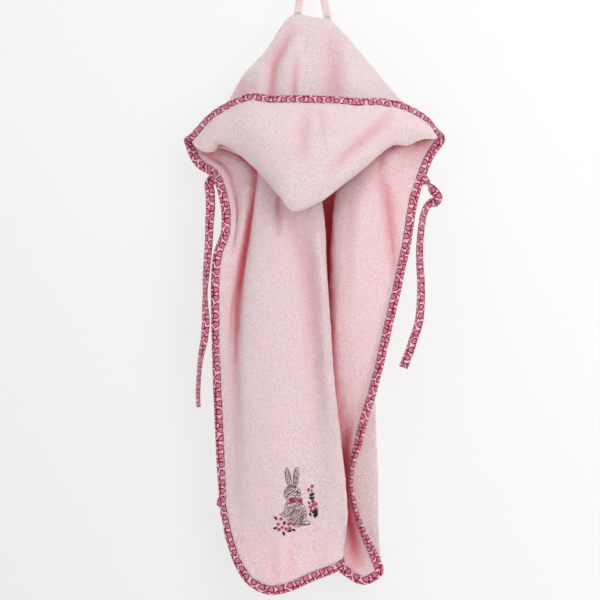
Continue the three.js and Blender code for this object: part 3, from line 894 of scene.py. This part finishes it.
BODY_ROWS, BODY_ACROSS = 300 // FINE, 20 // FINE
LOBE, CENTRE, RIGHT_HALF = (
    between(BODY_THREADS, BODY_ACROSS, *ends) for ends in ((4.5, 9.0), (5.5, 9.0), (16.5, 18.6))
)
BODY_CREASES = [
    # soft valley down the middle of the front lobe, and the ridge beside it
    ([(-27, -268), (-18, -305), (-8, -342), (-3, -380), (4, -470), (8, -580)], 5.0, 11.0, CENTRE),
    ([(-14, -286), (1, -311), (10, -349), (14, -400)], -3.0, 8.0, CENTRE),
    # short pit below the tip of the pouch
    ([(-38, -250), (-41, -272), (-42, -318)], 6.5, 5.0, LOBE),
    # pit and long soft valley of the right half, and the ridge beside it
    ([(85, -205), (85, -236), (93, -264), (97, -300), (104, -345), (108, -400)],
     8.0, 8.0, RIGHT_HALF),
    ([(66, -240), (60, -280), (56, -340), (56, -400)], -4.0, 10.0, RIGHT_HALF),
    # hollow of the right half behind the lower edge of the lobe, painting more shade
    ([(38, -576), (44, -620), (49, -664), (53, -702), (55, -736)], 9.0, 11.0, RIGHT_HALF, 0.095),
    # faint folds above the hem
    ([(-46, -690), (-49, -720), (-46, -755)], 2.2, 6.0, CENTRE),
    ([(-25, -684), (-28, -715), (-27, -748)], 1.8, 5.0, CENTRE),
]
body_grid, body_crease_shade = laid(BODY_THREADS, BODY_ROWS, BODY_ACROSS, BODY_CREASES, 1.0, 5)

# folds that fan out from the neck, the first two with their own amounts of painted shade
HOOD_BACK_CREASES = [
    ([(-18, -46), (-32, -70), (-46, -99), (-52, -140), (-54, -175)], 7.0, 7.0, 1.0, 0.06),
    ([(-19, -84), (-23, -139), (-24, -170)], 3.6, 4.6, 1.0, 0.11),
    ([(26, -50), (28, -99), (26, -150), (25, -185)], 6.0, 13.0),
    ([(-60, -88), (-66, -115), (-69, -150)], -4.5, 7.0),
    ([(-92, -108), (-90, -130), (-88, -160)], 5.0, 13.0),
    ([(-4, -44), (-7, -70), (-10, -96)], 1.2, 1.8),
]
hood_back_grid, back_crease_shade = laid(
    HOOD_BACK_THREADS, 90 // FINE, 24 // FINE, HOOD_BACK_CREASES, 0.7, 11
)

# the folds of the hood's front fade out where it turns in under the pouch
HOOD_FRONT_ROWS = 110 // FINE
UPPER_FACE = np.clip((0.62 - np.linspace(0, 1, HOOD_FRONT_ROWS)) / 0.2, 0, 1)[:, None]
HOOD_FRONT_CREASES = [
    ([(100, -155), (91, -170), (72, -187), (53, -206), (33, -224), (17, -241)],
     7.0, 9.0, UPPER_FACE),
    ([(-3, -150), (-11, -192), (-14, -228)], 4.5, 9.0, UPPER_FACE),
    ([(8, -153), (12, -180), (13, -208)], 2.6, 5.0, UPPER_FACE),
]
hood_front_grid, front_crease_shade = laid(
    HOOD_FRONT_THREADS, HOOD_FRONT_ROWS, 24 // FINE, HOOD_FRONT_CREASES, 0.8, 17
)


SHOULDER_TURNS = (150, 115, 80, 45, 15)  # degrees round the neck line, from behind to the top
SHOULDER_DEEP, SHOULDER_HIGH = 4.5, 3.2
SHOULDER_HANG = np.array([0, 0.4, -5.0])


def over_the_shoulder(grid):
    """Adds the cloth's turn over the neck line, down behind its top edge."""
    behind = []
    for turn in np.radians(SHOULDER_TURNS):
        over = [0, SHOULDER_DEEP * (1 - math.cos(turn)), SHOULDER_HIGH * math.sin(turn)]
        behind.append(grid[0] + np.array(over))
    return np.concatenate([[behind[0] + SHOULDER_HANG], behind, grid])


shoulder_grid = over_the_shoulder(hood_back_grid)
cloths = mid_surfaces([body_grid, shoulder_grid, hood_front_grid], 4 // FINE)
back_crease_shade = np.pad(back_crease_shade, ((len(shoulder_grid) - len(hood_back_grid), 0), (0, 0)))
# painted shade of each cloth: the larger of how far folds shut each place in and the shade its
# creases paint, the back face taking that at half
body_painted_shade, back_painted_shade, front_painted_shade = (
    np.maximum(painted_shade_in_folds(grid, cloths, 5 // FINE), np.concatenate([crease_shade.ravel(), crease_shade.ravel() / 2]))
    for grid, crease_shade in (
        (body_grid, body_crease_shade), (shoulder_grid, back_crease_shade), (hood_front_grid, front_crease_shade)
    )
)

body_cloth = terry_sheet("body_cloth", body_grid, TERRY_BODY, 1, body_painted_shade)
declare(body_cloth, "towel", "terry_body", "body_panel")
hood_back_cloth = terry_sheet("hood_back_cloth", shoulder_grid, TERRY_HOOD, 2, back_painted_shade)
declare(hood_back_cloth, None, "terry_hood", "hood_back")
hood_front_cloth = terry_sheet("hood_front_cloth", hood_front_grid, TERRY_HOOD, 3, front_painted_shade)
declare(hood_front_cloth, "hood", "terry_hood", "hood_front")

# ---- tape round the edges


def fan(start, end, count):
    """Frames of the tape where it turns round a corner, between two end frames."""
    share = np.linspace(0, 1, count + 2)[1:-1, None]
    ease = share * share * (3 - 2 * share)
    points = start[0] + (end[0] - start[0]) * ease
    away = unit(start[1] + (end[1] - start[1]) * share)
    normal = unit(start[2] + (end[2] - start[2]) * share)
    return points, away, normal


def frame_of(frames, i):
    """One of the frames."""
    return tuple(values[i] for values in frames)


def joined(*parts):
    """Frames, and lists of them, one after another."""
    return tuple(np.concatenate([np.atleast_2d(part[k]) for part in parts]) for k in range(3))


def outline_frames(points, normals):
    """Frames along a cloth edge whose cloth lies on the left of its direction."""
    tangent = unit(np.gradient(points, axis=0))
    away = unit(np.cross(tangent, normals))
    return points, away, unit(np.cross(away, tangent))


def down_round_and_up(values):
    """Values of the body's edge: its left edge downwards, its hem and its right edge upwards."""
    return np.concatenate([values[:, 0], values[-1, 1:-1], values[::-1, -1]])


def rim_leftwards(values):
    """Values of the hood's rim, from right to left."""
    return values[0, ::-1]


EDGE_STEP, TAPE_STEP = 2.2, 2.0
CORNER_FRAMES = 9


def edge_frames(grid, route):
    """Evenly spaced frames along the route that takes up an edge of a grid."""
    return resample(*outline_frames(route(grid), route(row_normals(grid))), EDGE_STEP)


edge = edge_frames(body_grid, down_round_and_up)
rim = edge_frames(hood_front_grid, rim_leftwards)
edge_path = joined(
    frame_of(rim, -1), fan(frame_of(rim, -1), frame_of(edge, 0), CORNER_FRAMES),
    edge,
    fan(frame_of(edge, -1), frame_of(rim, 0), CORNER_FRAMES), frame_of(rim, 0),
)
edge_path = resample(*edge_path, TAPE_STEP)
edge_tape = folded_tape("edge_tape", edge_path, PRINTED_TAPE, 21)
declare(edge_tape, "towel", "printed_tape", "edge_binding")
rim_tape = folded_tape("rim_tape", rim, PRINTED_TAPE, 23)
declare(rim_tape, "hood", "printed_tape", "rim_binding")

SEAM_IN, SEAM_PITCH = 1.3, 3.3
SEAM_HEIGHT = 0.9  # share of half the tape's height


def seam(name, path, body):
    """Two rows of running stitches that hold a folded tape, one on each face."""
    rows = [
        stitch for face in (1, -1)
        for stitch in side_stitches(path, SEAM_IN, TAPE_HALF * SEAM_HEIGHT, face, SEAM_PITCH)
    ]
    declare(stitch_piece(name, rows, SEWING_THREAD), body, "sewing_thread")


seam("edge_stitches", edge_path, "towel")
seam("rim_stitches", rim, "hood")


def face_tree(piece):
    """Search tree of a piece's faces, in millimetres."""
    corners = [tuple(vertex.co / MM) for vertex in piece.data.vertices]
    return BVHTree.FromPolygons(corners, [tuple(face.vertices) for face in piece.data.polygons])


VIEWER_Y = -400.0  # well in front of the towel


def sewn(tree, strokes, rise):
    """Stitches on a surface, from strokes of the front view given as ((x, z), (x, z), radius)."""
    rows = []
    for start, end, radius in strokes:
        ends = []
        for x, z in (start, end):
            place, normal, _, _ = tree.ray_cast(Vector((x, VIEWER_Y, z)), Vector((0.0, 1.0, 0.0)))
            if place is None:
                break
            facing = np.array(normal) * (-1 if normal.y > 0 else 1)
            ends.append((np.array(place) + facing * rise, facing))
        if len(ends) == 2:
            rows.append((ends[0][0], ends[1][0], ends[0][1], radius))
    return rows


TACK_STEP, TACK_RADIUS = 0.75, 0.42


def bar_tack(name, tree, x, z, long, wide, tilt, thread, rise, node):
    """Dense bar of short stitches across a tie or a leg of the loop."""
    cos, sin = math.cos(tilt), math.sin(tilt)
    strokes = []
    for step in np.arange(-long / 2, long / 2 + 0.1, TACK_STEP):
        start, end = (
            (x + across * cos - step * sin, z + across * sin + step * cos)
            for across in (-wide / 2, wide / 2)
        )
        strokes.append((start, end, TACK_RADIUS))
    piece = stitch_piece(name, sewn(tree, strokes, rise), thread)
    declare(piece, "towel", "sewing_thread", node)


def tack_pair(tree, long, wide, thread, rise, places):
    """Two bar tacks that differ in their places and tilts."""
    for name, x, z, tilt, node in places:
        bar_tack(name, tree, x, z, long, wide, tilt, thread, rise, node)


tack_pair(face_tree(edge_tape), 7.0, 3.4, SEWING_THREAD, 0.2, (
    ("left_tie_bar", -121.0, -236.0, 0.45, "left_tie_tack"),
    ("right_tie_bar", 138.5, -236.0, -0.75, "right_tie_tack"),
))

# ---- hanging loop

LOOP_STEP = 1.5
loop_frames = ribbon_frames(LOOP_ROUTE, LOOP_TURNS, LOOP_STEP)
hang_strap = ribbon(
    "hang_strap", loop_frames, TERRY_HOOD, LOOP_WIDTH / 2, LOOP_HALF_THICKNESS, 41
)
declare(hang_strap, "towel", "terry_loop", "hang_loop")
tack_pair(face_tree(hang_strap), 2.4, 7.6, PALE_THREAD, -0.1, (
    ("loop_bar_left", -17.0, -31.0, 0.1, "loop_tack_left"),
    ("loop_bar_right", 19.6, -35.0, -0.2, "loop_tack_right"),
))

# ---- embroidery on the front lobe


def oval_path(x, z, across, up, turn, step):
    """Points round an oval of the front view, about a step apart."""
    count = max(8, int(2 * math.pi * math.sqrt((across**2 + up**2) / 2) / step))
    angle = np.linspace(0, 2 * math.pi, count + 1)
    px, pz = across * np.cos(angle), up * np.sin(angle)
    cos, sin = math.cos(turn), math.sin(turn)
    return np.stack([x + px * cos - pz * sin, z + px * sin + pz * cos], 1)


def outline_strokes(path, radius):
    return [(tuple(a), tuple(b), radius) for a, b in zip(path[:-1], path[1:])]


FUR_UP, FUR_ACROSS = 2.9, 1.6
FUR_INSET_UP, FUR_INSET_ACROSS, FUR_FILL = 1.2, 0.8, 0.86
FUR_RADIUS, EAR_RADIUS, OUTLINE_RADIUS = 0.36, 0.3, 0.34


def fur(x, z, across, up, turn, lean, chance):
    """Short scattered strokes that fill an oval; lean is their angle in radians from upright."""
    strokes = []
    cos, sin = math.cos(turn), math.sin(turn)
    for row in np.arange(-up + FUR_INSET_UP, up, FUR_UP):
        for column in np.arange(-across + FUR_INSET_ACROSS, across, FUR_ACROSS):
            px = column + chance.uniform(-0.5, 0.5)
            pz = row + chance.uniform(-1.2, 1.2)
            if (px / across) ** 2 + (pz / up) ** 2 > FUR_FILL:
                continue
            angle = lean + chance.uniform(-0.4, 0.4)
            half = chance.uniform(1.3, 2.1)
            cx, cz = x + px * cos - pz * sin, z + px * sin + pz * cos
            dx, dz = half * math.sin(angle), half * math.cos(angle)
            strokes.append(((cx - dx, cz - dz), (cx + dx, cz + dz), FUR_RADIUS))
    return strokes


PETALS, PETAL_START, PETAL_LENGTH, PETAL_RADIUS = 5, 0.35, 2.35, 0.72


def petals(x, z, chance):
    """A small flower, each petal one fat stitch."""
    first = chance.uniform(0, 2 * math.pi)
    strokes = []
    for k in range(PETALS):
        angle = first + k * 2 * math.pi / PETALS
        start, end = (
            (x + reach * math.cos(angle), z + reach * math.sin(angle))
            for reach in (PETAL_START, PETAL_LENGTH)
        )
        strokes.append((start, end, PETAL_RADIUS))
    return strokes


LEAF_SPREADS, LEAF_GROWTH, LEAF_RADIUS = (-0.34, -0.17, 0.0, 0.17, 0.34), 1.2, 0.6


def leaf(x, z, length, angle, chance):
    """A leaf of side-by-side stitches that fan out from its stalk."""
    strokes = []
    for spread in LEAF_SPREADS:
        long = length * (1 - abs(spread)) * chance.uniform(0.88, 1.0)
        way = angle + spread
        strokes.append(((x, z), (x + long * math.sin(way), z + long * math.cos(way)), LEAF_RADIUS))
    return strokes


chance = np.random.default_rng(12)
lobe_tree = face_tree(body_cloth)

# a plain rabbit sitting in profile: centre, half width, half height and turn of each oval
BODY_OVAL = (-20.0, -657.0, 13.0, 18.5, 0.28)
HEAD_OVAL = (-24.0, -633.0, 10.5, 9.5, 0.0)
EAR_OVALS = [(-29.0, -613.5, 3.3, 12.5, 0.2), (-19.5, -613.0, 3.3, 12.5, -0.12)]
PAW_OVAL = (-7.5, -670.5, 6.0, 2.6, 0.25)
HAUNCH_OVAL = (-19.0, -664.0, 8.5, 9.0, 0.0)
TAIL_OVAL = (-36.0, -660.0, 3.6, 3.6, 0.0)
OVAL_STEP = 2.3
brown_strokes = []
for oval, lean in ((BODY_OVAL, 0.75), (HEAD_OVAL, 1.1), (TAIL_OVAL, -0.6)):
    brown_strokes += fur(*oval, lean, chance)
for oval in EAR_OVALS:
    brown_strokes += fur(*oval, -0.05, chance) + outline_strokes(oval_path(*oval, 2.2), EAR_RADIUS)
for oval in (BODY_OVAL, HEAD_OVAL, PAW_OVAL, HAUNCH_OVAL):
    brown_strokes += outline_strokes(oval_path(*oval, OVAL_STEP), OUTLINE_RADIUS)
# eye, nose and toes
dark_strokes = [((-17.8, -630.2), (-16.6, -633.6), 0.85), ((-13.6, -635.6), (-14.8, -636.6), 0.6)]
dark_strokes += [((x - 1.2, -672.2), (x + 1.2, -671.6), 0.5) for x in (-9.5, -7.0, -4.6, -2.6)]

# bow at the neck, flowers behind the rabbit and a sprig in front of it
BOW_X, BOW_Z, BOW_KNOT, BOW_LENGTH, BOW_RADIUS = -19.0, -642.6, 0.8, 8.0, 0.55
rose_strokes = []
for side in (-1, 1):
    for spread in np.linspace(-0.5, 0.5, 7):
        way = side * (math.pi / 2 + spread)
        tip = (BOW_X + BOW_LENGTH * math.sin(way), BOW_Z + BOW_LENGTH * math.cos(way))
        rose_strokes.append(((BOW_X + BOW_KNOT * side, BOW_Z), tip, BOW_RADIUS))
FLOWERS = [
    (-41.5, -671.5), (-38.0, -665.0), (-36.5, -675.5), (-33.5, -670.0), (-31.5, -677.5),
    (-28.5, -671.5), (-40.5, -678.0), (-27.0, -676.8), (-3.6, -629.0), (0.8, -624.6),
    (2.2, -643.5), (5.6, -646.8), (-1.4, -650.6), (1.8, -648.4), (-0.2, -655.0), (5.0, -652.2),
]
for x, z in FLOWERS:
    rose_strokes += petals(x, z, chance)

# place, length and angle of each leaf
LEAVES = [
    (-43.0, -666.5, 5.2, -0.6), (-42.5, -675.5, 5.0, -1.9), (-35.0, -672.5, 5.0, 0.4),
    (-30.0, -681.0, 5.6, 1.2), (-36.0, -681.0, 5.0, 2.6), (-24.5, -678.0, 4.6, 1.9),
    (0.0, -641.0, 4.2, -0.75), (0.2, -637.0, 4.0, -0.7), (0.6, -641.0, 4.2, 0.7),
    (0.6, -636.4, 4.2, 0.6), (-2.4, -647.0, 3.6, -0.5), (0.6, -658.0, 8.0, 1.0),
    (2.0, -662.0, 8.4, 0.75), (4.0, -664.5, 9.0, 0.35), (-0.6, -662.0, 4.6, -0.4),
]
green_strokes = []
for x, z, length, angle in LEAVES:
    green_strokes += leaf(x, z, length * LEAF_GROWTH, angle, chance)
stalk = [(0.4, -628.0), (0.4, -632.5), (0.1, -637.0), (0.2, -641.5), (0.6, -646.0)]
green_strokes += outline_strokes(stalk, LEAF_RADIUS)

EMBROIDERY_RISE = 0.25
for name, strokes, thread, slot, *nodes in (
    ("embroidery_fur", brown_strokes, BROWN_THREAD, "brown_thread", "embroidery_animal"),
    ("embroidery_eye", dark_strokes, DARK_THREAD, "brown_thread"),
    ("embroidery_petals", rose_strokes, ROSE_THREAD, "rose_thread",
     "embroidery_flowers", "embroidery_bud"),
    ("embroidery_greens", green_strokes, GREEN_THREAD, "green_thread", "embroidery_leaves"),
):
    piece = stitch_piece(name, sewn(lobe_tree, strokes, EMBROIDERY_RISE), thread)
    declare(piece, "towel", slot, *nodes)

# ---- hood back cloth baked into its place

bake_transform(hood_back_cloth)

# ---- wall, floor and light


def stage_plane(name, corners, material, casts_shadow):
    mesh = bpy.data.meshes.new(name)
    mesh.from_pydata(corners, [], [(0, 1, 2, 3)])
    mesh.materials.append(material)
    plane = bpy.data.objects.new(name, mesh)
    bpy.context.scene.collection.objects.link(plane)
    plane.visible_shadow = casts_shadow


WALL_Y = 0.034
FLOOR_Z = -1.15
wall_paint = wall_material((122, 123, 124))
floor_paint = paint("floor_paint", (240, 238, 236))[0].material
stage_plane(
    "wall",
    [(-3, WALL_Y, FLOOR_Z), (3, WALL_Y, FLOOR_Z), (3, WALL_Y, 2), (-3, WALL_Y, 2)],
    wall_paint, False,
)
stage_plane(
    "floor",
    [(-3, -3, FLOOR_Z), (3, -3, FLOOR_Z), (3, 3, FLOOR_Z), (-3, 3, FLOOR_Z)],
    floor_paint, True,
)


def soft_light(name, place, target, size, power, tone):
    data = bpy.data.lights.new(name, "AREA")
    data.shape = "DISK"
    data.size = size
    data.energy = power
    data.color = tone
    light = bpy.data.objects.new(name, data)
    light.location = place
    light.rotation_euler = (Vector(target) - Vector(place)).to_track_quat("-Z", "Y").to_euler()
    bpy.context.scene.collection.objects.link(light)


MIDDLE = (0.0, 0.0, -0.38)
WHITE = (1.0, 1.0, 1.0)
for name, place, size, power, tone in (
    ("key_right", (1.5, -2.1, 0.5), 1.9, 25, (1.0, 0.99, 0.975)),
    ("fill_left", (-1.7, -2.2, 0.35), 2.0, 8.5, (0.97, 0.985, 1.0)),
    ("top_front", (0.2, -1.6, 1.4), 1.8, 9, WHITE),
    ("behind", (0.4, 1.9, 0.3), 1.6, 7, WHITE),
):
    soft_light(name, place, MIDDLE, size, power, tone)

world = bpy.data.worlds.new("world")
bpy.context.scene.world = world
world.use_nodes = True
world.node_tree.nodes["Background"].inputs["Color"].default_value = (1, 1, 1, 1)
world.node_tree.nodes["Background"].inputs["Strength"].default_value = 0.55
bpy.context.scene.view_settings.view_transform = "Standard"
